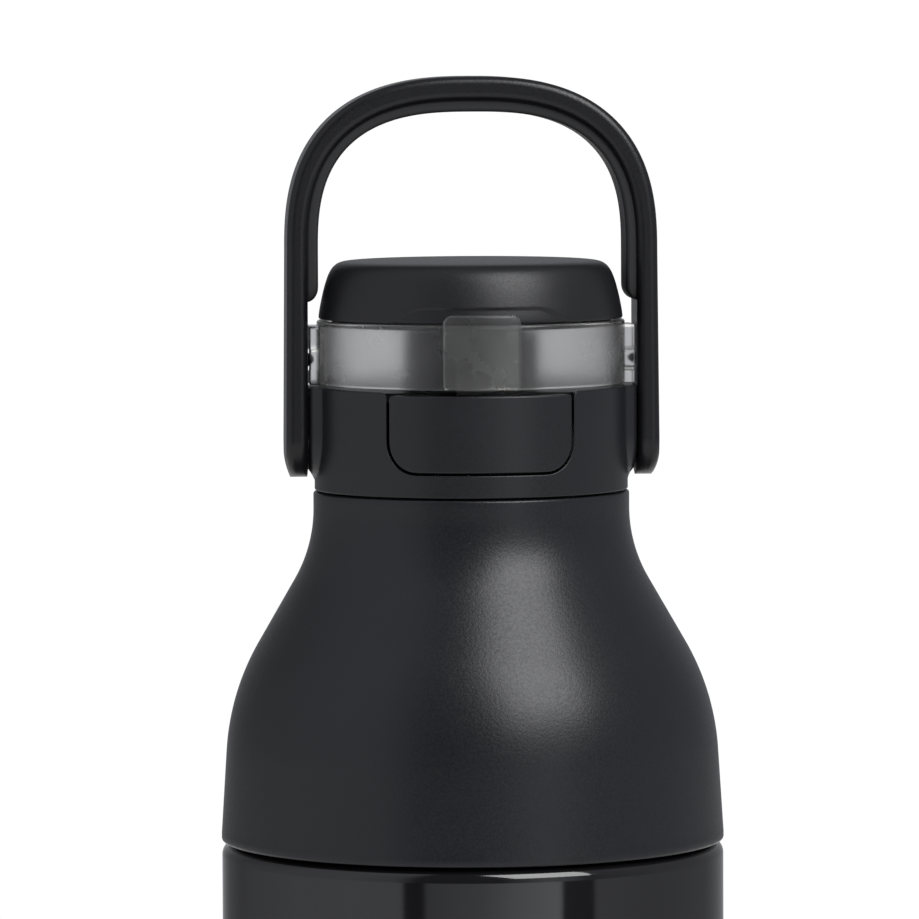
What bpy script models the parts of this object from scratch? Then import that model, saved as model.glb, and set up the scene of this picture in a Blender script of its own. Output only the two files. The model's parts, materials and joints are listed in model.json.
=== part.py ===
"""Insulated water bottle: steel vessel, threaded shoulder collar, and a flip-cap lid with a bail handle.

Every size below is in millimetres and becomes metres where a mesh is made. The bottle stands on z = 0
with its axis on Z. Its front, with the release button, faces -Y.
"""

import math

import bmesh
import bpy
from mathutils import Matrix, Vector

MM = 0.001
SEGMENTS = 36
SMALL_SEGMENTS = 14
GAP = 0.3
FAR = 60.0

# Vessel
BODY_RADIUS = 36.75
SHELL_WALL = 0.9
SHOULDER_ROUND = 1.8
SEAM_Z = 150.0
SHOULDER_Z = SEAM_Z - 0.15
NECK_RADIUS = 31.0
NECK_WALL = 0.9
RIM_Z = SEAM_Z + 11.5
LINER_RADIUS = 33.1
LINER_WALL = 0.8
FLOOR_Z = 6.0
FOOT_RADIUS = 32.8
FOOT_HEIGHT = 3.1
FOOT_RIM_RADIUS = 33.4
BASE_PLATE_RADIUS = 34.1

# Threads: one lead for both, so that a full turn lifts each cap by the same amount
LEAD = 6.0

# Collar
COLLAR_TOP_Z = SEAM_Z + 51.4
COLLAR_NECK_RADIUS = 23.1
FLARE_ANGLE = math.radians(30.0)
SKIRT_TAPER = math.radians(3.65)
COLLAR_BASE_RADIUS = 36.8
BORE_RADIUS = 19.8
SLEEVE_RADIUS = 21.1

# Lid ring, band and cap
LID_RADIUS = 22.9
LID_BOTTOM_Z = COLLAR_TOP_Z + GAP
LID_TOP_Z = 216.8
LID_INNER_RADIUS = 20.6
FLOOR_TOP_Z = 203.9
BAND_RADIUS = 22.5
BAND_INNER_RADIUS = 20.9
BAND_BOTTOM_Z = LID_TOP_Z + GAP
BAND_TOP_Z = 226.4
TAB_HALF_WIDTH = 5.7
TAB_RADIUS = 23.6
TAB_BOTTOM_Z = 217.3
TAB_TOP_Z = 227.9
CAP_BOTTOM_Z = 226.65
CAP_TOP_Z = 235.2
CAP_RADIUS = 22.2
SPOUT_RADIUS = 9.9
SPOUT_BORE = 8.1
SPOUT_TOP_Z = 224.8
PASSAGE_RADIUS = 8.4

# Flip hinge, low at the back, so that the cap opens under the upright handle
HINGE = Vector((0.0, 18.0, 210.8))
LEAF_HALF_WIDTH = 8.2
NOTCH_HALF_WIDTH = 8.6
HINGE_PIN_RADIUS = 0.75
PIN_HOLE_RADIUS = 1.0

# Release button
BUTTON_HALF_WIDTH = 13.2
BUTTON_BOTTOM_Z = 205.3
BUTTON_TOP_Z = 216.3
BUTTON_CORNER = 4.4
BUTTON_SLIT = 0.35
BUTTON_THICKNESS = 1.8

# Handle
PIVOT_Z = 209.1
LEG_OUTER = 27.0
LEG_INNER = 24.0
HANDLE_HALF_DEPTH = 5.5
ARCH_SPRING_Z = 236.5
ARCH_TOP_Z = 261.9
ARCH_UNDER_Z = 258.4
GRIP_INNER = 22.6
GRIP_UNDER_Z = 256.75
GRIP_END_Z = 229.2
GRIP_HALF_DEPTH = 4.4
BOSS_FACE = 23.7
BOSS_HALF_DEPTH = 6.1
PIVOT_PIN_RADIUS = 2.0
PIVOT_HOLE_RADIUS = 2.3
NUB_Z = 220.7
NUB_RADIUS = 0.9


def clear_scene():
    for obj in list(bpy.data.objects):
        bpy.data.objects.remove(obj, do_unlink=True)


def new_collection(name, hidden=False):
    collection = bpy.data.collections.new(name)
    bpy.context.scene.collection.children.link(collection)
    collection.hide_render = hidden
    return collection


clear_scene()
PARTS = new_collection("insulated_water_bottle")
CUTTERS = new_collection("cutters", hidden=True)


def material(name, color, roughness, metallic=0.0, transmission=0.0):
    made = bpy.data.materials.new(name)
    made.use_nodes = True
    shader = made.node_tree.nodes["Principled BSDF"]
    shader.inputs["Base Color"].default_value = (*color, 1.0)
    shader.inputs["Roughness"].default_value = roughness
    shader.inputs["Metallic"].default_value = metallic
    shader.inputs["Transmission Weight"].default_value = transmission
    made.diffuse_color = (*color, 1.0)
    return made


GLOSS_PAINT = material("gloss_black_paint", (0.010, 0.010, 0.011), 0.12)
STEEL = material("brushed_steel", (0.62, 0.62, 0.60), 0.32, metallic=1.0)
MATTE_BLACK = material("matte_black_plastic", (0.026, 0.027, 0.031), 0.5)
DARK_PLASTIC = material("dark_inner_plastic", (0.035, 0.036, 0.040), 0.45)
SOFT_BLACK = material("soft_touch_black", (0.028, 0.029, 0.032), 0.6)
SILICONE = material("grey_silicone", (0.30, 0.31, 0.32), 0.7)
RUBBER = material("black_rubber", (0.020, 0.020, 0.021), 0.8)
FROSTED = material("frosted_clear_plastic", (0.80, 0.81, 0.80), 0.45, transmission=0.8)


# Mesh making

def add_object(name, mesh, surface, collection=PARTS):
    obj = bpy.data.objects.new(name, mesh)
    collection.objects.link(obj)
    if surface:
        mesh.materials.clear()
        mesh.materials.append(surface)
    if collection is CUTTERS:
        obj.hide_render = True
        obj.display_type = "WIRE"
    return obj


def bake(obj):
    """Replaces the object's mesh by what its modifiers make of it."""
    graph = bpy.context.evaluated_depsgraph_get()
    mesh = bpy.data.meshes.new_from_object(obj.evaluated_get(graph))
    obj.modifiers.clear()
    obj.data = mesh
    return obj


def turned(name, profile, surface=None, collection=PARTS, segments=SEGMENTS):
    """A turned solid. The profile is (radius, z) points that run down its outer side. It is a closed
    loop, unless it starts and ends on the axis."""
    mesh = bpy.data.meshes.new(name)
    points = [(radius * MM, 0.0, z * MM) for radius, z in profile]
    edges = [(i, i + 1) for i in range(len(points) - 1)]
    if profile[0][0] > 0.0:
        edges.append((len(points) - 1, 0))
    mesh.from_pydata(points, edges, [])
    obj = add_object(name, mesh, surface, collection)
    screw = obj.modifiers.new("turn", "SCREW")
    screw.axis = "Z"
    screw.angle = math.tau
    screw.steps = segments
    screw.render_steps = segments
    screw.use_merge_vertices = True
    screw.merge_threshold = 0.00001
    screw.use_normal_calculate = False
    return bake(obj)


def from_bmesh(name, build, surface, collection):
    mesh = bpy.data.meshes.new(name)
    bm = bmesh.new()
    build(bm)
    bm.to_mesh(mesh)
    bm.free()
    return add_object(name, mesh, surface, collection)


def block(name, low, high, surface=None, collection=CUTTERS):
    low, high = Vector(low) * MM, Vector(high) * MM

    def build(bm):
        place = Matrix.Translation((low + high) / 2) @ Matrix.Diagonal((*(high - low), 1.0))
        bmesh.ops.create_cube(bm, size=1.0, matrix=place)

    return from_bmesh(name, build, surface, collection)


def rod(name, start, end, radius, surface=None, collection=CUTTERS, segments=SMALL_SEGMENTS):
    start, end = Vector(start) * MM, Vector(end) * MM
    turn = (end - start).to_track_quat("Z", "Y").to_matrix().to_4x4()

    def build(bm):
        bmesh.ops.create_cone(
            bm,
            cap_ends=True,
            segments=segments,
            radius1=radius * MM,
            radius2=radius * MM,
            depth=(end - start).length,
            matrix=Matrix.Translation((start + end) / 2) @ turn,
        )

    return from_bmesh(name, build, surface, collection)


def mesh_from_curve(name, curve, surface, collection):
    """The curve's solid as a mesh object, with its caps welded on."""
    guide = bpy.data.objects.new(name + "_curve", curve)
    CUTTERS.objects.link(guide)
    bpy.context.view_layer.update()
    graph = bpy.context.evaluated_depsgraph_get()
    mesh = bpy.data.meshes.new_from_object(guide.evaluated_get(graph))
    bpy.data.objects.remove(guide, do_unlink=True)
    bm = bmesh.new()
    bm.from_mesh(mesh)
    bmesh.ops.remove_doubles(bm, verts=bm.verts, dist=0.000001)
    bmesh.ops.recalc_face_normals(bm, faces=bm.faces)
    bm.to_mesh(mesh)
    bm.free()
    return add_object(name, mesh, surface, collection)


def prism(name, outlines, low, high, facing, surface=None, collection=CUTTERS):
    """Flat outlines pushed out along an axis. With facing "Y" they are (x, z) points and low and high
    are y. With facing "X" they are (y, z) points and low and high are x."""
    curve = bpy.data.curves.new(name, "CURVE")
    curve.dimensions = "2D"
    curve.fill_mode = "BOTH"
    curve.extrude = (high - low) / 2 * MM
    for outline in outlines:
        spline = curve.splines.new("POLY")
        spline.points.add(len(outline) - 1)
        spline.use_cyclic_u = True
        for point, (across, up) in zip(spline.points, outline):
            point.co = (across * MM, up * MM, 0.0, 1.0)
    obj = mesh_from_curve(name, curve, surface, collection)
    middle = (high + low) / 2 * MM
    if facing == "Y":
        columns = ((1, 0, 0), (0, 0, 1), (0, -1, 0))
        offset = (0.0, middle, 0.0)
    else:
        columns = ((0, 1, 0), (0, 0, 1), (1, 0, 0))
        offset = (middle, 0.0, 0.0)
    turn = Matrix(columns).transposed().to_4x4()
    obj.data.transform(Matrix.Translation(offset) @ turn)
    return obj


def wire(name, points, radius, surface=None, collection=PARTS, sides=1):
    """A round wire through the points, as one solid."""
    curve = bpy.data.curves.new(name, "CURVE")
    curve.dimensions = "3D"
    curve.bevel_depth = radius * MM
    curve.bevel_resolution = sides
    curve.use_fill_caps = True
    curve.twist_mode = "MINIMUM"
    spline = curve.splines.new("POLY")
    spline.points.add(len(points) - 1)
    for point, place in zip(spline.points, points):
        point.co = (*(Vector(place) * MM), 1.0)
    return mesh_from_curve(name, curve, surface, collection)


def boolean(obj, other, operation):
    modifier = obj.modifiers.new(operation.lower(), "BOOLEAN")
    modifier.operation = operation
    modifier.object = other
    modifier.solver = "EXACT"
    if other.name not in CUTTERS.objects:
        PARTS.objects.unlink(other)
        CUTTERS.objects.link(other)
        other.hide_render = True
    bake(obj)
    bpy.data.objects.remove(other, do_unlink=True)


def cut(obj, *others):
    for other in others:
        boolean(obj, other, "DIFFERENCE")


def join(obj, *others):
    for other in others:
        boolean(obj, other, "UNION")


def keep(obj, other):
    boolean(obj, other, "INTERSECT")


def arc(centre, radius, start, end, steps):
    """Points on an arc, as (across, up), with its angles in degrees."""
    points = []
    for i in range(steps + 1):
        angle = math.radians(start + (end - start) * i / steps)
        points.append((centre[0] + radius * math.cos(angle), centre[1] + radius * math.sin(angle)))
    return points


def half_arch(half_width, spring_z, top_z, power, steps):
    """A quarter of a superellipse from the side, at its spring line, up to the crown."""
    points = []
    for i in range(steps + 1):
        angle = math.pi / 2 * i / steps
        x = half_width * math.cos(angle) ** (2 / power)
        z = spring_z + (top_z - spring_z) * math.sin(angle) ** (2 / power)
        points.append((x, z))
    return points


def full_arch(half_width, foot_z, top_z, power, steps=12):
    """The arch from its right foot over the crown to its left foot."""
    right = [(half_width, foot_z)] + half_arch(half_width, ARCH_SPRING_Z, top_z, power, steps)
    return right + [(-x, z) for x, z in reversed(right[:-1])]


def thread(name, radius, ridge, low_z, turns, phase=0.0):
    """A helical ridge. A full turn climbs by the lead, counter-clockwise from above."""
    count = round(turns * 24)
    points = []
    for i in range(count + 1):
        angle = math.tau * i / 24
        x = radius * math.cos(angle + phase)
        y = radius * math.sin(angle + phase)
        points.append((x, y, low_z + LEAD * i / 24))
    return wire(name, points, ridge, collection=CUTTERS, sides=0)


def coil(centre, axis_x, radius, length, turns, per_turn=10):
    """Points of a coil about a line through the centre, along X, or else along Y."""
    points = []
    count = turns * per_turn
    for i in range(count + 1):
        angle = math.tau * i / per_turn
        along = length * (i / count - 0.5)
        swing = (radius * math.cos(angle), radius * math.sin(angle))
        offset = (along, *swing) if axis_x else (swing[0], along, swing[1])
        points.append(Vector(centre) + Vector(offset))
    return points


# Vessel

def make_outer_shell():
    inner = BODY_RADIUS - SHELL_WALL
    neck_inner = NECK_RADIUS - NECK_WALL
    top = RIM_Z - 0.8 - GAP
    shoulder = arc((BODY_RADIUS - SHOULDER_ROUND, SHOULDER_Z - SHOULDER_ROUND), SHOULDER_ROUND, 90, 0, 4)
    profile = [(NECK_RADIUS, top), (NECK_RADIUS, SHOULDER_Z)]
    profile += shoulder
    profile += [(BODY_RADIUS, 5.0), (BODY_RADIUS - 0.7, 3.3), (BODY_RADIUS - 2.2, 2.6)]
    profile += [(FOOT_RIM_RADIUS, 2.6)]
    profile += [(inner, 5.4), (inner, SHOULDER_Z - 2.2), (inner - 1.2, SHOULDER_Z - 1.0)]
    profile += [(neck_inner, SHOULDER_Z - 1.0), (neck_inner, top)]
    shell = turned("outer_shell", profile, GLOSS_PAINT)
    join(shell, thread("neck_thread", NECK_RADIUS + 0.1, 0.8, SEAM_Z + 2.2, 1.0))


def make_inner_vessel():
    inner = LINER_RADIUS - LINER_WALL
    neck_outer = NECK_RADIUS - NECK_WALL - GAP
    neck_inner = neck_outer - LINER_WALL
    profile = [(0.0, FLOOR_Z + LINER_WALL), (inner - 2.2, FLOOR_Z + LINER_WALL), (inner, FLOOR_Z + 3.0)]
    profile += [(inner, SHOULDER_Z - 5.6), (neck_inner, SHOULDER_Z - 1.8), (neck_inner, RIM_Z)]
    profile += [(NECK_RADIUS, RIM_Z), (NECK_RADIUS, RIM_Z - 0.8), (neck_outer, RIM_Z - 0.8)]
    profile += [(neck_outer, SHOULDER_Z - 1.6), (LINER_RADIUS, SHOULDER_Z - 5.3)]
    profile += [(LINER_RADIUS, FLOOR_Z + 2.8)]
    profile += [(LINER_RADIUS - 2.6, FLOOR_Z), (0.0, FLOOR_Z)]
    turned("inner_vessel", profile, STEEL)


def make_base():
    plate = [(0.0, 4.4), (BASE_PLATE_RADIUS, 4.4), (BASE_PLATE_RADIUS - 0.6, 3.4), (0.0, 3.4)]
    turned("base_plate", plate, STEEL)
    turned("vacuum_getter", [(0.0, 5.7), (5.0, 5.7), (5.0, 4.7), (0.0, 4.7)], STEEL, segments=20)
    plug = [(0.0, 3.1), (4.6, 3.1), (4.6, 2.4), (3.2, 1.6), (0.0, 1.4)]
    turned("vacuum_seal_cap", plug, STEEL, segments=20)
    foot = [(FOOT_RADIUS, FOOT_HEIGHT), (FOOT_RADIUS, 1.4), (FOOT_RADIUS - 1.4, 0.0), (9.0, 0.0)]
    foot += [(8.0, 1.0), (8.0, FOOT_HEIGHT)]
    turned("base_pad", foot, RUBBER)


# Collar

def collar_outline():
    """The collar's outside from its neck down: cylinder, hollow curve, cone, round shoulder, taper."""
    hollow, round_out = 21.0, 36.0
    neck_end = COLLAR_TOP_Z - 2.4
    points = [(COLLAR_NECK_RADIUS - 0.3, COLLAR_TOP_Z), (COLLAR_NECK_RADIUS, COLLAR_TOP_Z - 0.3)]
    for i in range(6):
        angle = FLARE_ANGLE * i / 5
        r = COLLAR_NECK_RADIUS + hollow * (1.0 - math.cos(angle))
        points.append((r, neck_end - hollow * math.sin(angle)))
    knee_z = SEAM_Z + 13.5
    knee_r = COLLAR_BASE_RADIUS - (knee_z - SEAM_Z - 1.3) * math.tan(SKIRT_TAPER)
    centre = (knee_r - round_out * math.cos(SKIRT_TAPER), knee_z - round_out * math.sin(SKIRT_TAPER))
    for i in range(6):
        angle = FLARE_ANGLE + (SKIRT_TAPER - FLARE_ANGLE) * i / 5
        points.append((centre[0] + round_out * math.cos(angle), centre[1] + round_out * math.sin(angle)))
    points += [(COLLAR_BASE_RADIUS, SEAM_Z + 1.3), (COLLAR_BASE_RADIUS - 0.75, SEAM_Z + 0.15)]
    return points


def make_collar_shell():
    outline = collar_outline()
    inside = [(34.7, SEAM_Z + 0.15), (34.0, SEAM_Z + 13.0), (32.4, SEAM_Z + 22.0), (29.3, SEAM_Z + 29.0)]
    inside += [(24.1, SEAM_Z + 37.8), (22.2, SEAM_Z + 42.6), (21.4, SEAM_Z + 48.0), (21.4, COLLAR_TOP_Z)]
    turned("collar_shell", outline + inside, MATTE_BLACK)


def make_collar_liner():
    """The funnel with the vessel's thread, and the seat that the lid's gasket presses on."""
    outside = [(SLEEVE_RADIUS, SEAM_Z + 36.8), (28.1, SEAM_Z + 28.2), (30.2, SEAM_Z + 18.0)]
    outside += [(33.6, SEAM_Z + 14.6), (33.6, SEAM_Z + 0.6)]
    inside = [(32.5, SEAM_Z + 0.6), (32.5, SEAM_Z + 13.6), (28.6, SEAM_Z + 13.6), (28.6, SEAM_Z + 17.0)]
    inside += [(26.7, SEAM_Z + 26.6), (19.6, SEAM_Z + 34.8), (16.8, SEAM_Z + 34.8), (16.8, SEAM_Z + 36.2)]
    inside += [(BORE_RADIUS, SEAM_Z + 36.2), (BORE_RADIUS, SEAM_Z + 36.8)]
    liner = turned("collar_liner", outside + inside, DARK_PLASTIC)
    join(liner, thread("liner_thread", 32.5, 0.9, SEAM_Z + 2.2 + LEAD / 2, 1.0))


def make_collar_sleeve():
    """The threaded tube in the collar's neck that the lid screws into."""
    top, bottom = COLLAR_TOP_Z - GAP, SEAM_Z + 36.8 + GAP
    profile = [(SLEEVE_RADIUS, top), (SLEEVE_RADIUS, bottom), (BORE_RADIUS, bottom), (BORE_RADIUS, top)]
    sleeve = turned("collar_sleeve", profile, DARK_PLASTIC)
    join(sleeve, thread("bore_thread", BORE_RADIUS, 0.8, SEAM_Z + 39.5 + LEAD / 2, 1.0))


def make_seals():
    bottom = RIM_Z + GAP
    gasket = [(31.6, bottom + 1.5), (31.6, bottom), (28.9, bottom), (28.9, bottom + 1.5)]
    turned("collar_seal", gasket, SILICONE)
    low = SEAM_Z + 36.5
    turned("lid_seal", [(18.6, low + 1.8), (18.6, low), (16.9, low), (16.9, low + 1.8)], SILICONE)


# Lid ring and what stands in it

def boss(side):
    """The flat pad on the lid ring that a handle leg turns against, with a round lower end."""
    top = LID_TOP_Z
    outline = [(-BOSS_HALF_DEPTH, top)] + arc((0.0, PIVOT_Z + 0.5), BOSS_HALF_DEPTH, 180, 360, 10)
    outline += [(BOSS_HALF_DEPTH, top)]
    near, far = sorted((side * 21.4, side * BOSS_FACE))
    return prism("boss", [outline], near, far, "X")


def button_outline(grow):
    half, corner = BUTTON_HALF_WIDTH + grow, BUTTON_CORNER + grow
    bottom, top = BUTTON_BOTTOM_Z - grow, BUTTON_TOP_Z + (20.0 if grow else 0.0)
    left = arc((corner - half, bottom + corner), corner, 180, 270, 5)
    right = arc((half - corner, bottom + corner), corner, 270, 360, 5)
    return [(-half, top)] + left + right + [(half, top)]


def make_lid_base():
    profile = [(LID_RADIUS - 0.2, LID_TOP_Z), (LID_RADIUS, LID_TOP_Z - 0.2)]
    profile += [(LID_RADIUS, LID_BOTTOM_Z + 0.4), (LID_RADIUS - 0.4, LID_BOTTOM_Z)]
    profile += [(PASSAGE_RADIUS, LID_BOTTOM_Z), (PASSAGE_RADIUS, FLOOR_TOP_Z)]
    profile += [(LID_INNER_RADIUS, FLOOR_TOP_Z), (LID_INNER_RADIUS, LID_TOP_Z)]
    base = turned("lid_base", profile, MATTE_BLACK)
    join(base, boss(1), boss(-1))
    cut(base, prism("button_cut", [button_outline(BUTTON_SLIT)], -30.0, -10.0, "Y"))
    slot = (-NOTCH_HALF_WIDTH, 13.0, FLOOR_TOP_Z + 0.2), (NOTCH_HALF_WIDTH, 30.0, LID_TOP_Z + 5.0)
    cut(base, block("leaf_slot", *slot))
    pin_y, pin_z = HINGE.y, HINGE.z
    cut(base, rod("hinge_hole", (-12.4, pin_y, pin_z), (12.4, pin_y, pin_z), PIN_HOLE_RADIUS))
    for side in (1, -1):
        hole = (side * 20.0, 0.0, PIVOT_Z), (side * 25.0, 0.0, PIVOT_Z)
        cut(base, rod("pivot_hole", *hole, PIVOT_HOLE_RADIUS))


def make_lid_plug():
    top, bottom = LID_BOTTOM_Z - GAP, SEAM_Z + 38.6
    profile = [(18.4, top), (18.4, bottom + 0.6), (17.8, bottom), (16.2, bottom), (16.2, top)]
    plug = turned("lid_plug", profile, DARK_PLASTIC)
    join(plug, thread("plug_thread", 18.4, 0.8, SEAM_Z + 40.6, 1.0))


def make_lid_deck():
    profile = [(20.2, 216.4), (20.2, 215.0), (10.3, 215.0), (10.3, 216.4)]
    deck = turned("lid_deck", profile, DARK_PLASTIC)
    cut(deck, block("tongue_slot", (-14.4, -FAR, 200.0), (14.4, -13.5, 230.0)))
    cut(deck, block("leaf_slot", (-NOTCH_HALF_WIDTH, 14.6, 200.0), (NOTCH_HALF_WIDTH, FAR, 230.0)))


def make_spout():
    profile = [(SPOUT_RADIUS - 0.7, SPOUT_TOP_Z), (SPOUT_RADIUS, SPOUT_TOP_Z - 0.7), (SPOUT_RADIUS, 205.6)]
    profile += [(11.6, 205.6), (11.6, FLOOR_TOP_Z + GAP), (SPOUT_BORE, FLOOR_TOP_Z + GAP)]
    profile += [(SPOUT_BORE, SPOUT_TOP_Z - 0.4), (SPOUT_BORE + 0.4, SPOUT_TOP_Z)]
    turned("drinking_spout", profile, DARK_PLASTIC, segments=28)


def ring_sector(name, radius, inner, low_z, high_z, keeper):
    """The part of a turned ring that lies inside the keeper."""
    profile = [(radius, high_z), (radius, low_z), (inner, low_z), (inner, high_z)]
    ring = turned(name, profile, collection=CUTTERS)
    keep(ring, keeper)
    return ring


def lug(side):
    """The band's side lug, with the notch that the handle's nub clicks into and leaves rearwards."""
    outline = [(-3.4, 217.1), (3.4, 217.1), (3.4, 218.7), (0.4, 219.3), (-1.6, 219.3), (-1.6, 222.1)]
    outline += [(3.4, 222.1), (3.4, 225.6), (-3.4, 225.6)]
    near, far = sorted((side * 22.0, side * 23.6))
    return prism("lug", [outline], near, far, "X")


def make_clear_band():
    profile = [(BAND_RADIUS - 0.4, BAND_TOP_Z), (BAND_RADIUS, BAND_TOP_Z - 0.4)]
    profile += [(BAND_RADIUS, BAND_BOTTOM_Z), (BAND_INNER_RADIUS, BAND_BOTTOM_Z)]
    profile += [(BAND_INNER_RADIUS, BAND_TOP_Z)]
    band = turned("clear_band", profile, FROSTED)
    half = TAB_HALF_WIDTH
    outline = [(-half, TAB_BOTTOM_Z)] + [(half, TAB_BOTTOM_Z)]
    outline += arc((half - 1.2, TAB_TOP_Z - 1.2), 1.2, 0, 90, 3)
    outline += arc((1.2 - half, TAB_TOP_Z - 1.2), 1.2, 90, 180, 3)
    window = prism("tab_window", [outline], -FAR, 0.0, "Y")
    lower = ring_sector("tab", TAB_RADIUS, LID_RADIUS + GAP, TAB_BOTTOM_Z, TAB_TOP_Z, window)
    upper = ring_sector(
        "tab_back", TAB_RADIUS - 0.2, BAND_RADIUS - 0.8, BAND_BOTTOM_Z + 0.1, BAND_TOP_Z - 0.5,
        block("tab_root", (0.2 - half, -FAR, 200.0), (half - 0.2, 0.0, 230.0)),
    )
    join(band, upper, lower, lug(1), lug(-1))
    cut(band, block("leaf_slot", (-NOTCH_HALF_WIDTH, 10.0, 200.0), (NOTCH_HALF_WIDTH, FAR, 240.0)))


def make_pins():
    pin_y, pin_z = HINGE.y, HINGE.z
    ends = (-12.0, pin_y, pin_z), (12.0, pin_y, pin_z)
    rod("hinge_pin", *ends, HINGE_PIN_RADIUS, STEEL, PARTS, segments=12)
    for side, name in ((1, "pivot_pin_right"), (-1, "pivot_pin_left")):
        ends = (side * 21.0, 0.0, PIVOT_Z), (side * 25.6, 0.0, PIVOT_Z)
        rod(name, *ends, PIVOT_PIN_RADIUS, STEEL, PARTS, segments=16)


def make_springs():
    points = coil(HINGE, True, 1.75, 6.0, 5)
    points = [HINGE + Vector((-3.0, 1.9, -2.3))] + points + [HINGE + Vector((3.0, 1.75, 3.4))]
    wire("hinge_spring", points, 0.35, STEEL)
    middle = (0.0, -14.6, 209.4)
    wire("button_spring", coil(middle, False, 2.0, 5.0, 4), 0.3, STEEL)


# Flip cap

def make_flip_cap():
    top = [(0.0, CAP_TOP_Z), (10.0, CAP_TOP_Z - 0.1), (17.4, CAP_TOP_Z - 0.35)]
    top += [(19.0, CAP_TOP_Z - 0.7), (20.1, CAP_TOP_Z - 1.5), (20.7, CAP_TOP_Z - 2.7)]
    side = [(21.4, CAP_TOP_Z - 5.0), (CAP_RADIUS - 0.1, CAP_BOTTOM_Z + 0.9), (CAP_RADIUS, CAP_BOTTOM_Z)]
    inside = [(20.5, CAP_BOTTOM_Z), (19.9, 230.6), (18.4, 233.2), (0.0, 233.5)]
    cap = turned("flip_cap", top + side + inside, SOFT_BLACK)
    window = block("recess_window", (-14.0, -FAR, CAP_BOTTOM_Z - 1.0), (14.0, 0.0, CAP_BOTTOM_Z + 2.4))
    cut(cap, ring_sector("recess", CAP_RADIUS + 2.0, CAP_RADIUS - 0.55, CAP_BOTTOM_Z - 1.0, 230.0, window))


def make_cap_inner():
    disc = [(0.0, 228.3), (19.6, 228.3), (19.6, 226.8), (0.0, 226.8)]
    inner = turned("cap_inner", disc, DARK_PLASTIC)
    half = LEAF_HALF_WIDTH
    join(inner, block("web", (-half, 15.6, 209.6), (half, 18.3, 227.6)))
    window = block("leaf_window", (-half, 0.0, 211.2), (half, FAR, 225.9))
    join(inner, ring_sector("leaf", 22.35, 17.6, 211.2, 225.9, window))
    join(inner, rod("knuckle", (-half, HINGE.y, HINGE.z), (half, HINGE.y, HINGE.z), 2.4, segments=20))
    cut(inner, block("spring_slot", (-4.2, 10.0, 200.0), (4.2, 20.6, 216.0)))
    cut(inner, block("spring_slot_low", (-4.2, 10.0, 200.0), (4.2, 30.0, 212.6)))
    cut(inner, rod("pin_hole", (-FAR, HINGE.y, HINGE.z), (FAR, HINGE.y, HINGE.z), PIN_HOLE_RADIUS))
    join(inner, block("tongue", (-3.4, -19.4, 213.6), (3.4, -18.2, 227.2)))
    join(inner, block("barb", (-3.4, -19.2, 213.6), (3.4, -17.3, 214.5)))


def make_stopper():
    top = 226.5
    profile = [(0.0, top), (10.6, top), (10.6, 225.5), (10.0, SPOUT_TOP_Z + GAP), (0.0, SPOUT_TOP_Z + GAP)]
    turned("spout_stopper", profile, SILICONE, segments=28)


# Release button

def make_release_button():
    window = prism("button_window", [button_outline(0.0)], -FAR, 0.0, "Y")
    inner = LID_RADIUS - BUTTON_THICKNESS
    plate = ring_sector("release_button", LID_RADIUS, inner, 200.0, 220.0, window)
    CUTTERS.objects.unlink(plate)
    PARTS.objects.link(plate)
    plate.hide_render = False
    plate.display_type = "TEXTURED"
    plate.data.materials.clear()
    plate.data.materials.append(MATTE_BLACK)
    join(plate, rod("spring_peg", (0.0, -21.6, 209.4), (0.0, -17.6, 209.4), 1.3))


def make_latch_hook():
    hook = block("latch_hook", (-3.4, -20.7, 212.0), (3.4, -15.6, 213.1), STEEL, PARTS)
    join(hook, block("hook_rise", (-3.4, -16.8, 212.0), (3.4, -15.6, 214.7)))


# Handle

def stadium(name, half_depth, foot_z, top_z, half_width):
    outline = [(-half_depth, top_z)] + arc((0.0, foot_z + half_depth), half_depth, 180, 360, 12)
    outline += [(half_depth, top_z)]
    return prism(name, [outline], -half_width, half_width, "X")


def make_handle():
    foot = PIVOT_Z - HANDLE_HALF_DEPTH
    outer = full_arch(LEG_OUTER, foot + 3.5, ARCH_TOP_Z, 2.5)
    outer = [(LEG_OUTER - 0.7, foot)] + outer + [(0.7 - LEG_OUTER, foot)]
    inner = full_arch(LEG_INNER, foot, ARCH_UNDER_Z, 2.6)
    outline = outer + list(reversed(inner))
    half = HANDLE_HALF_DEPTH
    handle = prism("carry_handle", [outline], -half, half, "Y", SOFT_BLACK, PARTS)
    keep(handle, stadium("leg_ends", half, foot, 300.0, 40.0))
    for side in (1, -1):
        hole = (side * 22.0, 0.0, PIVOT_Z), (side * 25.9, 0.0, PIVOT_Z)
        cut(handle, rod("pivot_hole", *hole, PIVOT_HOLE_RADIUS))
        nub = (side * 23.0, 0.0, NUB_Z), (side * 25.0, 0.0, NUB_Z)
        join(handle, rod("nub", *nub, NUB_RADIUS, segments=12))


def make_grip():
    outer = full_arch(LEG_INNER - GAP, GRIP_END_Z, ARCH_UNDER_Z - GAP, 2.6)
    inner = full_arch(GRIP_INNER, GRIP_END_Z, GRIP_UNDER_Z, 2.9)
    outline = outer + list(reversed(inner))
    half = GRIP_HALF_DEPTH
    prism("handle_grip", [outline], -half, half, "Y", RUBBER, PARTS)


# Origins and parenting

def pivot(name, place, parent=None):
    empty = bpy.data.objects.new(name, None)
    PARTS.objects.link(empty)
    empty.empty_display_size = 0.01
    empty.location = Vector(place) * MM
    if parent:
        empty.parent = parent
        empty.location -= Vector(parent["place"])
    empty["place"] = tuple(Vector(place) * MM)
    return empty


def hang(empty, *names):
    """Moves each piece's origin to the pivot and parents it there, so that it turns about its joint."""
    for name in names:
        obj = bpy.data.objects[name]
        obj.data.transform(Matrix.Translation(-Vector(empty["place"])))
        obj.parent = empty


def shade():
    for obj in PARTS.objects:
        if obj.type == "MESH":
            obj.data.shade_smooth()
            obj.data.set_sharp_from_angle(angle=math.radians(35.0))


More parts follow.
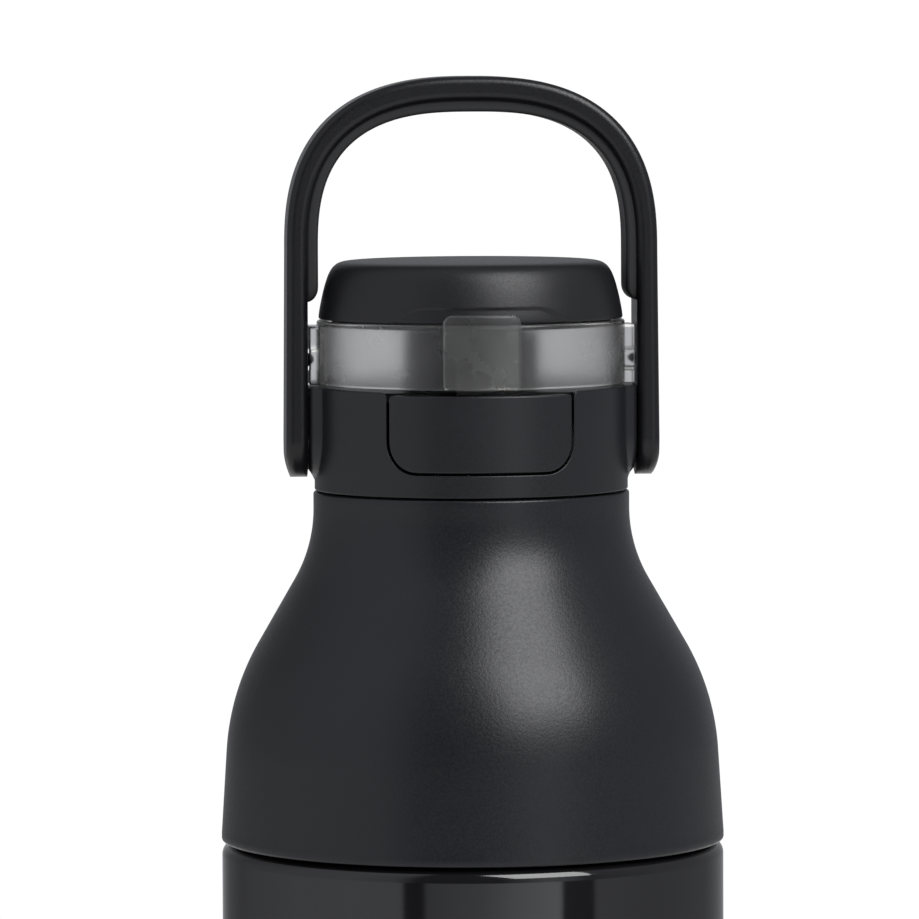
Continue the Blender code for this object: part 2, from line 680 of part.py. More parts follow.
def main():
    make_outer_shell()
    make_inner_vessel()
    make_base()
    make_collar_shell()
    make_collar_liner()
    make_collar_sleeve()
    make_seals()
    make_lid_base()
    make_lid_plug()
    make_lid_deck()
    make_spout()
    make_clear_band()
    make_pins()
    make_springs()
    make_flip_cap()
    make_cap_inner()
    make_stopper()
    make_release_button()
    make_latch_hook()
    make_handle()
    make_grip()
    collar = pivot("collar_axis", (0.0, 0.0, SEAM_Z))
    lid = pivot("lid_axis", (0.0, 0.0, LID_BOTTOM_Z), collar)
    hang(collar, "collar_shell", "collar_liner", "collar_sleeve", "collar_seal")
    hang(lid, "lid_base", "lid_plug", "lid_seal", "lid_deck", "drinking_spout", "clear_band")
    hang(lid, "hinge_pin", "hinge_spring", "pivot_pin_left", "pivot_pin_right", "button_spring")
    hang(pivot("cap_hinge", HINGE, lid), "flip_cap", "cap_inner", "spout_stopper")
    hang(pivot("handle_pivot", (0.0, 0.0, PIVOT_Z), lid), "carry_handle", "handle_grip")
    hang(pivot("button_slide", (0.0, -LID_RADIUS, PIVOT_Z), lid), "release_button", "latch_hook")
    shade()


main()
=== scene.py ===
"""The insulated bottle as it looks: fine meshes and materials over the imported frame, a studio and a camera.

Sizes are in millimetres and become metres where a mesh is made. The front, with the button, faces -Y.
"""

import math

import bmesh
import bpy
import numpy as np
from mathutils import Matrix, Vector
from mathutils.geometry import delaunay_2d_cdt
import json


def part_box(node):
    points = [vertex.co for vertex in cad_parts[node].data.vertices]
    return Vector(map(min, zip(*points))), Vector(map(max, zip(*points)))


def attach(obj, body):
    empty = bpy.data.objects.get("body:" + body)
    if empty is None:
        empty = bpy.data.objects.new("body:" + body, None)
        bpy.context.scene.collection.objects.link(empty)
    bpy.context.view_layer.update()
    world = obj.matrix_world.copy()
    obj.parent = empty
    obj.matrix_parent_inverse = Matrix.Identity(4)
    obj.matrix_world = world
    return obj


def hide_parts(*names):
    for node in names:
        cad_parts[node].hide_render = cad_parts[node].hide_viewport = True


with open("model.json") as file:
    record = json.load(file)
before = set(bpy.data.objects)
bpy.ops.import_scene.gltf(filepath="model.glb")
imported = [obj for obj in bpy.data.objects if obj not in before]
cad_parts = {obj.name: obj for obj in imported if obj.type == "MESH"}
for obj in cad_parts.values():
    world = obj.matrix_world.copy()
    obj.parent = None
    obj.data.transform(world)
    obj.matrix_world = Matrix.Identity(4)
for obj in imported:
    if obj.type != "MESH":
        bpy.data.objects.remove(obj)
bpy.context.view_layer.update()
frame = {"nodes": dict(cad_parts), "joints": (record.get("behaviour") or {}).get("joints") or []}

MM = 0.001


def cad(node):
    """The CAD node's lowest and highest corners, in millimetres."""
    low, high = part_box(node)
    return Vector(low) / MM, Vector(high) / MM


# ---------------------------------------------------------------- places taken from the frame

SHELL_HIGH = cad("outer_shell")[1]
COLLAR_LOW, COLLAR_HIGH = cad("collar_shell")
RING_LOW, RING_HIGH = cad("lid_base")
BAND_LOW, BAND_HIGH = cad("clear_band")
CAP_LOW, CAP_HIGH = cad("flip_cap")
HANDLE_LOW, HANDLE_HIGH = cad("carry_handle")
GRIP_LOW, GRIP_HIGH = cad("handle_grip")
BUTTON_LOW, BUTTON_HIGH = cad("release_button")
SPOUT_LOW, SPOUT_HIGH = cad("drinking_spout")
STOPPER_LOW, STOPPER_HIGH = cad("spout_stopper")
LEAF_HIGH = cad("cap_inner")[1]
PAD_HIGH = cad("base_pad")[1]
LINER_HIGH = cad("collar_liner")[1]
PLUG_LOW, PLUG_HIGH = cad("lid_plug")
RIM_Z = cad("inner_vessel")[1].z

joints = {joint["name"]: joint for joint in frame["joints"]}
PIVOT_Z = joints["handle_fold"]["pos_m"][2] / MM
HINGE = Vector(joints["cap_flip"]["pos_m"]) / MM

SEAM_Z = COLLAR_LOW.z - 0.15
SHOULDER_Z = SEAM_Z
BODY_RADIUS = SHELL_HIGH.x
COLLAR_RADIUS = COLLAR_HIGH.x
NECK_TOP_Z = COLLAR_HIGH.z
NECK_RADIUS = 23.1
SLEEVE_RADIUS = 21.1
BORE_RADIUS = 19.8
LID_RADIUS = RING_HIGH.y
LID_BOTTOM_Z = RING_LOW.z
LID_TOP_Z = RING_HIGH.z
FLOOR_TOP_Z = 203.9
BAND_RADIUS = 22.5
BAND_BOTTOM_Z = LID_TOP_Z + 0.3
TAB_RADIUS = -BAND_LOW.y
TAB_BOTTOM_Z = 217.3
LEAD = 6.0


# ---------------------------------------------------------------- mesh making

def mesh_object(name, verts, faces):
    """An object from points in millimetres, shaded smooth."""
    mesh = bpy.data.meshes.new(name)
    mesh.from_pydata([tuple(c * MM for c in v) for v in verts], [], faces)
    mesh.update()
    mesh.shade_smooth()
    obj = bpy.data.objects.new(name, mesh)
    bpy.context.scene.collection.objects.link(obj)
    return obj


def fillet(corners, closed=True, steps=5):
    """An outline from (across, up, radius) corners, with an arc in each corner that has a radius, and a
    point close to both ends of each long straight, which keeps the shading flat between them."""
    count = len(corners)
    runs = []
    for i, (across, up, radius) in enumerate(corners):
        here = Vector((across, up))
        at_end = not closed and i in (0, count - 1)
        if radius <= 0.0 or at_end:
            runs.append([here])
            continue
        before = (Vector(corners[i - 1][:2]) - here).normalized()
        after = (Vector(corners[(i + 1) % count][:2]) - here).normalized()
        half = before.angle(after) / 2
        reach = radius / math.tan(half)
        middle = here + (before + after).normalized() * (radius / math.sin(half))
        start, end = here + before * reach - middle, here + after * reach - middle
        sweep = start.angle_signed(end)
        run = []
        for k in range(steps + 1):
            angle = -sweep * k / steps
            cos, sin = math.cos(angle), math.sin(angle)
            run.append(middle + Vector((start.x * cos - start.y * sin, start.x * sin + start.y * cos)))
        runs.append(run)
    points = []
    last = count if closed else count - 1
    for i in range(count):
        points += runs[i]
        if i >= last:
            continue
        a, b = runs[i][-1], runs[(i + 1) % count][0]
        length = (b - a).length
        if length > 1.2:
            points += [a.lerp(b, 0.15 / length), a.lerp(b, 1.0 - 0.15 / length)]
    return [(p.x, p.y) for p in points]


def revolve(name, profile, segments=192, shape=None):
    """A turned mesh from (radius, z) points that run down the outer side: a closed loop, or open if it
    starts and ends on the axis. shape(angle, r, z) may give each point another (r, z)."""
    closed = profile[0][0] > 0.0
    verts, rows = [], []
    for r, z in profile:
        if r <= 0.0:
            rows.append([len(verts)] * segments)
            verts.append((0.0, 0.0, z))
            continue
        row = []
        for k in range(segments):
            angle = math.tau * k / segments
            rr, zz = shape(angle, r, z) if shape else (r, z)
            row.append(len(verts))
            verts.append((rr * math.sin(angle), -rr * math.cos(angle), zz))
        rows.append(row)
    faces = []
    pairs = list(zip(rows, rows[1:])) + ([(rows[-1], rows[0])] if closed else [])
    for upper, lower in pairs:
        for k in range(segments):
            m = (k + 1) % segments
            corners = [upper[k], lower[k], lower[m], upper[m]]
            faces.append(tuple(dict.fromkeys(corners)))
    return mesh_object(name, verts, faces)


def inward(outline, distance):
    """The outline of a counter-clockwise piece, drawn that much further in."""
    moved = []
    for i, here in enumerate(outline):
        here = Vector(here)
        ahead = (Vector(outline[(i + 1) % len(outline)]) - here).normalized()
        behind = (here - Vector(outline[i - 1])).normalized()
        normal = Vector((-behind.y - ahead.y, behind.x + ahead.x)) / (1.0 + behind.dot(ahead))
        moved.append(here + normal * distance)
    return [(p.x, p.y) for p in moved]


def inner_points(outline, step):
    """Points on a grid inside the outline, symmetric about its upright axis."""
    line = np.array(outline)
    ends = np.roll(line, -1, axis=0)
    span = ends - line
    low, high = line.min(axis=0), line.max(axis=0)
    rows = max(1, round((high[1] - low[1]) / (2 * step)))
    reach = step * math.floor(high[0] / step)
    found = []
    for x in np.arange(-reach, reach + step / 2, step):
        for y in low[1] + (high[1] - low[1]) * (np.arange(rows) + 0.5) / rows:
            offset = np.array((x, y)) - line
            along = np.clip((offset * span).sum(axis=1) / (span**2).sum(axis=1), 0.0, 1.0)
            if np.hypot(*(offset - span * along[:, None]).T).min() > 0.4 * step:
                found.append(Vector((x, y)))
    return found


def flat_piece(outline, depth, edge, step=0.7, support=0.08):
    """A flat plate as a bmesh: its counter-clockwise outline in the XY plane, its depth along Z about 0,
    rounded edges, and a support loop just inside them."""
    spaced = []
    for here, after in zip(outline, outline[1:] + outline[:1]):
        here, after = Vector(here), Vector(after)
        cuts = max(1, math.ceil((after - here).length / step - 0.2))
        spaced += [tuple(here.lerp(after, i / cuts)) for i in range(cuts)]
    flat = depth / 2
    rounds = 4
    levels = []
    for i in range(rounds + 1):
        angle = math.pi / 2 * i / rounds
        levels.append((edge * (1.0 - math.cos(angle)), flat - edge + edge * math.sin(angle)))
    levels.append((edge + support, flat))
    face = inward(spaced, edge + support)
    grid = inner_points(face, step)
    count = len(spaced)
    edges = [(i, (i + 1) % count) for i in range(count)]
    points, _, triangles, *_ = delaunay_2d_cdt([Vector(p) for p in face] + grid, edges, [], 1, 1e-5)
    bm = bmesh.new()
    for side in (1, -1):
        loops = []
        for inset, z in levels[:-1]:
            loops.append([bm.verts.new((x, y, side * z)) for x, y in inward(spaced, inset)])
        cover = [bm.verts.new((p.x, p.y, side * flat)) for p in points]
        loops.append(cover[:count])
        for outer, inner in zip(loops, loops[1:]):
            for i in range(count):
                m = (i + 1) % count
                bm.faces.new((outer[i], outer[m], inner[m], inner[i]))
        for triangle in triangles:
            bm.faces.new([cover[i] for i in triangle])
        if side == 1:
            first = loops[0]
    for i in range(count):
        m = (i + 1) % count
        bm.faces.new((loops[0][i], loops[0][m], first[m], first[i]))
    bmesh.ops.recalc_face_normals(bm, faces=bm.faces)
    return bm


def from_bmesh(name, bm):
    bmesh.ops.recalc_face_normals(bm, faces=bm.faces)
    mesh = bpy.data.meshes.new(name)
    bm.to_mesh(mesh)
    bm.free()
    mesh.transform(Matrix.Diagonal((MM, MM, MM, 1.0)))
    mesh.shade_smooth()
    obj = bpy.data.objects.new(name, mesh)
    bpy.context.scene.collection.objects.link(obj)
    return obj


def bent_plate(name, outline, radius, depth, edge, step=0.7, wrap=False):
    """A plate bent round the bottle's axis. Its outline is in (arc length at the outer radius, z), with 0
    at the front, and its outer face has that radius. With wrap, it closes on itself at the back."""
    bm = flat_piece(outline, depth, edge, step)
    if wrap:
        for place, way in ((0.0, -1), (math.pi * radius, 1)):
            cut = {"plane_co": (place, 0, 0), "plane_no": (way, 0, 0), "clear_outer": True}
            bmesh.ops.bisect_plane(bm, geom=[*bm.verts, *bm.edges, *bm.faces], **cut)
    for vert in bm.verts:
        angle = vert.co.x / radius
        r = radius - depth / 2 + vert.co.z
        vert.co = Vector((r * math.sin(angle), -r * math.cos(angle), vert.co.y))
    if wrap:
        whole = bmesh.ops.duplicate(bm, geom=[*bm.verts, *bm.edges, *bm.faces])["geom"]
        for vert in whole:
            if isinstance(vert, bmesh.types.BMVert):
                vert.co.x = -vert.co.x
        bmesh.ops.remove_doubles(bm, verts=bm.verts, dist=0.001)
    return from_bmesh(name, bm)


def side_plate(name, outline, low, high, edge):
    """A flat plate across X, from its counter-clockwise (y, z) outline."""
    bm = flat_piece(outline, high - low, edge)
    columns = Matrix(((0, 1, 0), (0, 0, 1), (1, 0, 0))).transposed().to_4x4()
    bm.transform(Matrix.Translation(((low + high) / 2, 0.0, 0.0)) @ columns)
    return from_bmesh(name, bm)


def skin(name, sections):
    """A closed tube over equal rings of points, with both ends capped."""
    ring = len(sections[0])
    verts = [p for section in sections for p in section]
    faces = []
    for i in range(len(sections) - 1):
        for k in range(ring):
            m = (k + 1) % ring
            faces.append((i * ring + k, i * ring + m, (i + 1) * ring + m, (i + 1) * ring + k))
    faces.append(tuple(reversed(range(ring))))
    faces.append(tuple(range(len(verts) - ring, len(verts))))
    obj = mesh_object(name, verts, faces)
    bm = bmesh.new()
    bm.from_mesh(obj.data)
    bmesh.ops.recalc_face_normals(bm, faces=bm.faces)
    bm.to_mesh(obj.data)
    bm.free()
    return obj


def rounded_section(half_thick, half_deep, corner, steps=5):
    """A rounded rectangle's (thickness, depth) points, with a support point at each end of its sides."""
    corner = min(corner, half_thick * 0.98, half_deep * 0.98)
    points = []
    for quarter, (sx, sy) in enumerate(((1, 1), (-1, 1), (-1, -1), (1, -1))):
        for k in range(steps + 1):
            angle = math.pi / 2 * (quarter + k / steps)
            x = sx * (half_thick - corner) + corner * math.cos(angle)
            y = sy * (half_deep - corner) + corner * math.sin(angle)
            points.append((x, y))
        if quarter % 2 == 0:
            slack = (half_thick - corner) * 0.8
            points += [(slack, sy * half_deep), (-slack, sy * half_deep)] if sx > 0 else [
                (-slack, sy * half_deep), (slack, sy * half_deep)]
        else:
            slack = (half_deep - corner) * 0.9
            points += [(sx * half_thick, sy * slack), (sx * half_thick, -sy * slack)]
    return points


def helix_ridge(name, radius, height, width, low_z, turns, outward=1.0, per_turn=72):
    """A thread ridge on a wall of that radius, with a trapezoid section, faded in and out at its ends."""
    sections = []
    count = round(turns * per_turn)
    for i in range(count + 1):
        angle = math.tau * i / per_turn
        fade = min(1.0, i / 10, (count - i) / 10)
        crest = radius + outward * max(0.02, height * math.sin(fade * math.pi / 2))
        root = radius - outward * 0.25
        z = low_z + LEAD * i / per_turn
        shape = [(root, -width / 2), (crest, -width / 5), (crest, width / 5), (root, width / 2)]
        across = (math.cos(angle), math.sin(angle))
        sections.append([(r * across[0], r * across[1], z + up) for r, up in shape])
    return skin(name, sections)


def arch_point(half_width, spring_z, top_z, power, t):
    """A point on the arch: from its right foot on the spring line (t = 0) over the crown to the left (1)."""
    angle = math.pi * t
    x = half_width * math.copysign(abs(math.cos(angle)) ** (2 / power), math.cos(angle))
    return x, spring_z + (top_z - spring_z) * math.sin(angle) ** (2 / power)


# ---------------------------------------------------------------- materials

def principled(name, color, roughness, metallic=0.0, specular=0.5, ior=1.5):
    made = bpy.data.materials.new(name)
    made.use_nodes = True
    nodes, links = made.node_tree.nodes, made.node_tree.links
    shader = nodes["Principled BSDF"]
    shader.inputs["Base Color"].default_value = (*color, 1.0)
    shader.inputs["Roughness"].default_value = roughness
    shader.inputs["Metallic"].default_value = metallic
    shader.inputs["Specular IOR Level"].default_value = specular
    shader.inputs["IOR"].default_value = ior
    return made, nodes, links, shader


def object_noise(nodes, links, scale, detail=3.0, stretch=(1.0, 1.0, 1.0)):
    place = nodes.new("ShaderNodeTexCoord")
    mapping = nodes.new("ShaderNodeMapping")
    mapping.inputs["Scale"].default_value = stretch
    noise = nodes.new("ShaderNodeTexNoise")
    noise.inputs["Scale"].default_value = scale
    noise.inputs["Detail"].default_value = detail
    links.new(place.outputs["Object"], mapping.inputs["Vector"])
    links.new(mapping.outputs["Vector"], noise.inputs["Vector"])
    return noise.outputs["Fac"]


def spread(nodes, links, value, low, high, from_low=0.3, from_high=0.7):
    """The noise value moved into a range."""
    made = nodes.new("ShaderNodeMapRange")
    made.inputs["From Min"].default_value = from_low
    made.inputs["From Max"].default_value = from_high
    made.inputs["To Min"].default_value = low
    made.inputs["To Max"].default_value = high
    links.new(value, made.inputs["Value"])
    return made.outputs["Result"]


def add_bump(nodes, links, shader, height, strength, distance):
    bump = nodes.new("ShaderNodeBump")
    bump.inputs["Strength"].default_value = strength
    bump.inputs["Distance"].default_value = distance
    links.new(height, bump.inputs["Height"])
    links.new(bump.outputs["Normal"], shader.inputs["Normal"])


def tint(nodes, links, shader, value, dark, light):
    ramp = nodes.new("ShaderNodeValToRGB")
    ramp.color_ramp.elements[0].position = 0.3
    ramp.color_ramp.elements[1].position = 0.7
    ramp.color_ramp.elements[0].color = (*dark, 1.0)
    ramp.color_ramp.elements[1].color = (*light, 1.0)
    links.new(value, ramp.inputs["Fac"])
    links.new(ramp.outputs["Color"], shader.inputs["Base Color"])


def moulded_black(name, dark, light, roughness, grain_scale, grain, spread_by=0.05):
    """Black moulded plastic: a fine spark-eroded grain, with slightly uneven colour and gloss."""
    made, nodes, links, shader = principled(name, light, roughness, specular=0.3)
    fine = object_noise(nodes, links, grain_scale, detail=2.0)
    broad = object_noise(nodes, links, 60.0, detail=4.0)
    tint(nodes, links, shader, broad, dark, light)
    rough = spread(nodes, links, fine, roughness - spread_by, roughness + spread_by)
    links.new(rough, shader.inputs["Roughness"])
    add_bump(nodes, links, shader, fine, 0.35, grain)
    return made


def gloss_paint():
    """Black lacquer over steel: a deep gloss with a very faint orange peel."""
    made, nodes, links, shader = principled("gloss_lacquer", (0.0045, 0.0045, 0.005), 0.07)
    peel = object_noise(nodes, links, 420.0, detail=1.0)
    broad = object_noise(nodes, links, 45.0, detail=3.0)
    tint(nodes, links, shader, broad, (0.0040, 0.0040, 0.0045), (0.0052, 0.0052, 0.0057))
    links.new(spread(nodes, links, broad, 0.05, 0.09), shader.inputs["Roughness"])
    add_bump(nodes, links, shader, peel, 0.04, 0.00005)
    return made


def brushed_steel():
    made, nodes, links, shader = principled("brushed_stainless", (0.60, 0.60, 0.58), 0.3, metallic=1.0)
    rings = object_noise(nodes, links, 90.0, detail=5.0, stretch=(0.6, 0.6, 60.0))
    tint(nodes, links, shader, rings, (0.50, 0.50, 0.48), (0.66, 0.66, 0.64))
    links.new(spread(nodes, links, rings, 0.24, 0.38), shader.inputs["Roughness"])
    add_bump(nodes, links, shader, rings, 0.15, 0.00003)
    return made


def frosted_plastic():
    """Translucent frosted plastic: rough refraction through a slightly uneven milky body."""
    made, nodes, links, shader = principled("frosted_band", (0.97, 0.968, 0.952), 0.25, ior=1.46)
    shader.inputs["Transmission Weight"].default_value = 1.0
    cloud = object_noise(nodes, links, 160.0, detail=3.0)
    fine = object_noise(nodes, links, 1800.0, detail=2.0)
    tint(nodes, links, shader, cloud, (0.955, 0.953, 0.937), (0.985, 0.983, 0.967))
    links.new(spread(nodes, links, cloud, 0.21, 0.29), shader.inputs["Roughness"])
    add_bump(nodes, links, shader, fine, 0.2, 0.00003)
    return made


def silicone(name, dark, light, roughness):
    made, nodes, links, shader = principled(name, light, roughness, ior=1.42)
    cloud = object_noise(nodes, links, 300.0, detail=3.0)
    tint(nodes, links, shader, cloud, dark, light)
    links.new(spread(nodes, links, cloud, roughness - 0.06, roughness + 0.06), shader.inputs["Roughness"])
    add_bump(nodes, links, shader, cloud, 0.15, 0.00004)
    return made


MATTE = moulded_black(
    "matte_black_moulding", (0.0070, 0.0073, 0.0092), (0.0086, 0.0090, 0.0114), 0.33, 2600.0, 0.00006)
LID_MATTE = moulded_black(
    "lid_moulding", (0.0074, 0.0077, 0.0094), (0.0088, 0.0092, 0.0112), 0.34, 3200.0, 0.00004)
CAP_SKIN = moulded_black(
    "cap_soft_touch", (0.0064, 0.0066, 0.0080), (0.0078, 0.0080, 0.0096), 0.41, 3600.0, 0.00005)
SOFT = moulded_black(
    "handle_soft_touch", (0.0034, 0.0035, 0.0044), (0.0044, 0.0045, 0.0056), 0.33, 3600.0, 0.00005)
DARK = moulded_black(
    "dark_inner_moulding", (0.010, 0.010, 0.011), (0.014, 0.014, 0.016), 0.4, 2400.0, 0.00003)
GRIP = silicone("grip_rubber", (0.0060, 0.0062, 0.0070), (0.0080, 0.0082, 0.0092), 0.6)
FOOT = silicone("foot_rubber", (0.016, 0.016, 0.017), (0.022, 0.022, 0.023), 0.7)
SEAL = silicone("seal_silicone", (0.25, 0.26, 0.27), (0.32, 0.33, 0.34), 0.55)
GLOSS = gloss_paint()
STEEL = brushed_steel()
FROSTED = frosted_plastic()


# ---------------------------------------------------------------- riding and replacing

def settle(obj, surface, body, slot, *nodes):
    """Gives the piece its material and its CAD body, and hides the CAD nodes that it stands for. The slot
    argument is not used.
    """
    obj.data.materials.clear()
    obj.data.materials.append(surface)
    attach(obj, body)
    if nodes:
        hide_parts(*nodes)
    return obj


# ---------------------------------------------------------------- vessel

def gloss_body():
    """The outer shell: side wall, rounded shoulder and foot, and the neck with its thread."""
    neck, wall = 31.0, 0.9
    top = RIM_Z - 1.1
    corners = [
        (neck, top, 0.2), (neck, SHOULDER_Z, 0.3), (BODY_RADIUS, SHOULDER_Z, 1.8),
        (BODY_RADIUS, 2.6, 2.6), (33.4, 2.6, 0.2), (33.4, 3.2, 0.0), (BODY_RADIUS - wall, 5.6, 0.0),
        (BODY_RADIUS - wall, SHOULDER_Z - 1.1, 1.2), (neck - wall, SHOULDER_Z - 1.1, 0.0),
        (neck - wall, top, 0.2),
    ]
    body = revolve("gloss_body", fillet(corners, steps=8), segments=256)
    settle(body, GLOSS, "vessel", "gloss_paint", "outer_shell")
    ridge = helix_ridge("neck_thread_ridge", neck, 0.9, 1.7, SEAM_Z + 2.2, 1.0)
    settle(ridge, GLOSS, "vessel", "gloss_paint")


def steel_lining():
    inner, wall = 32.3, 0.8
    neck_outer, neck_inner = 29.8, 29.0
    floor = 6.0
    corners = [
        (0.0, floor + wall, 0.0), (inner, floor + wall, 3.2), (inner, SHOULDER_Z - 5.6, 3.0),
        (neck_inner, SHOULDER_Z - 1.8, 3.0), (neck_inner, RIM_Z, 0.35), (31.0, RIM_Z, 0.35),
        (31.0, RIM_Z - 0.8, 0.15), (neck_outer, RIM_Z - 0.8, 0.0), (neck_outer, SHOULDER_Z - 1.6, 3.0),
        (inner + wall, SHOULDER_Z - 5.3, 3.0), (inner + wall, floor, 3.6), (0.0, floor, 0.0),
    ]
    lining = revolve("steel_lining", fillet(corners, closed=False), segments=160)
    settle(lining, STEEL, "vessel", "steel", "inner_vessel")


def foot():
    r, h = PAD_HIGH.x, PAD_HIGH.z
    corners = [(r, h, 0.1), (r, 0.0, 1.5), (24.6, 0.0, 0.15), (24.2, 0.5, 0.15), (22.8, 0.5, 0.15)]
    corners += [(22.4, 0.0, 0.15), (9.0, 0.0, 0.4), (8.0, 1.0, 0.3), (8.0, h, 0.1)]
    settle(revolve("rubber_foot", fillet(corners), segments=160), FOOT, "vessel", "rubber", "base_pad")


# ---------------------------------------------------------------- collar

def collar_outside():
    """The collar's outside from its neck down: cylinder, hollow curve, cone, round shoulder, taper."""
    flare, taper = math.radians(30.0), math.radians(3.65)
    hollow, round_out = 21.0, 36.0
    neck_end, widest_z = NECK_TOP_Z - 2.4, SEAM_Z + 1.3
    points = [(NECK_RADIUS, neck_end + 1.0)]
    for i in range(25):
        angle = flare * i / 24
        points.append((NECK_RADIUS + hollow * (1.0 - math.cos(angle)), neck_end - hollow * math.sin(angle)))
    knee_z = SEAM_Z + 13.5
    knee_r = COLLAR_RADIUS - (knee_z - widest_z) * math.tan(taper)
    centre = (knee_r - round_out * math.cos(taper), knee_z - round_out * math.sin(taper))
    for i in range(25):
        angle = flare + (taper - flare) * i / 24
        points.append((centre[0] + round_out * math.cos(angle), centre[1] + round_out * math.sin(angle)))
    for i in range(1, 8):
        z = knee_z + (widest_z + 0.2 - knee_z) * i / 7
        points.append((COLLAR_RADIUS - (z - widest_z) * math.tan(taper), z))
    return points


def shoulder_collar():
    outside = collar_outside()
    top = [(21.4, NECK_TOP_Z - 3.0, 0.0), (21.4, NECK_TOP_Z, 0.25), (NECK_RADIUS, NECK_TOP_Z, 0.35)]
    top = fillet(top + [(NECK_RADIUS, NECK_TOP_Z - 1.0, 0.0)], closed=False)
    low = SEAM_Z + 0.3
    foot_lip = [(COLLAR_RADIUS, low + 1.1, 0.0), (COLLAR_RADIUS, low, 0.4), (34.7, low, 0.2)]
    foot_lip = fillet(foot_lip + [(34.6, low + 1.8, 0.0)], closed=False, steps=8)
    inside = [(34.0, SEAM_Z + 13.0), (32.4, SEAM_Z + 22.0), (29.3, SEAM_Z + 29.0), (24.1, SEAM_Z + 37.8)]
    inside += [(22.2, SEAM_Z + 42.6), (21.4, SEAM_Z + 47.0)]
    collar = revolve("shoulder_collar", top + outside + foot_lip + inside, segments=256)
    settle(collar, MATTE, "collar", "matte_black", "collar_shell")


def collar_funnel():
    top = LINER_HIGH.z
    corners = [
        (SLEEVE_RADIUS, top, 0.15), (28.1, SEAM_Z + 28.2, 2.0), (30.2, SEAM_Z + 18.0, 1.5),
        (33.6, SEAM_Z + 14.6, 0.6), (33.6, SEAM_Z + 0.6, 0.3), (32.5, SEAM_Z + 0.6, 0.3),
        (32.5, SEAM_Z + 13.6, 0.2), (28.6, SEAM_Z + 13.6, 0.5), (28.6, SEAM_Z + 17.0, 2.0),
        (26.7, SEAM_Z + 26.6, 3.0), (19.6, SEAM_Z + 34.8, 0.8), (16.8, SEAM_Z + 34.8, 0.4),
        (16.8, SEAM_Z + 36.2, 0.4), (BORE_RADIUS, SEAM_Z + 36.2, 0.2), (BORE_RADIUS, top, 0.15),
    ]
    liner = revolve("collar_funnel", fillet(corners), segments=160)
    settle(liner, DARK, "collar", "dark_plastic", "collar_liner")
    low = helix_ridge("collar_thread_ridge", 32.5, 0.9, 1.7, SEAM_Z + 2.2 + LEAD / 2, 1.0, outward=-1.0)
    settle(low, DARK, "collar", "dark_plastic")
    bottom, top = (corner.z for corner in cad("collar_sleeve"))
    tube = [(SLEEVE_RADIUS, top, 0.15), (SLEEVE_RADIUS, bottom, 0.15)]
    tube += [(BORE_RADIUS, bottom, 0.15), (BORE_RADIUS, top, 0.15)]
    sleeve = revolve("thread_sleeve", fillet(tube), segments=160)
    settle(sleeve, DARK, "collar", "dark_plastic", "collar_sleeve")
    thread_z = SEAM_Z + 39.5 + LEAD / 2
    high = helix_ridge("bore_thread_ridge", BORE_RADIUS, 0.75, 1.6, thread_z, 1.0, outward=-1.0)
    settle(high, DARK, "collar", "dark_plastic")


def seals():
    gaskets = (
        ("rim_gasket", "collar_seal", "collar_gasket", 28.9),
        ("plug_gasket", "lid_seal", "lid_gasket", 16.9),
    )
    for name, node, body, inner in gaskets:
        low, high = cad(node)
        corners = [(high.x, high.z, 0.5), (high.x, low.z, 0.5), (inner, low.z, 0.5), (inner, high.z, 0.5)]
        settle(revolve(name, fillet(corners), segments=128), SEAL, body, "silicone", node)


# ---------------------------------------------------------------- lid ring and button

NOTCH_HALF = 8.6
BUTTON_HALF_ANGLE = math.asin(13.2 / LID_RADIUS)


def button_cut(grow):
    """The button's outline on the unrolled ring: straight sides, round lower corners, open at the top."""
    half = BUTTON_HALF_ANGLE * LID_RADIUS + grow
    bottom = BUTTON_LOW.z - grow
    return half, bottom, 4.4 + grow


def smooth(t):
    """0 below 0, 1 above 1, and a smooth step between."""
    t = min(1.0, max(0.0, t))
    return t * t * (3.0 - 2.0 * t)


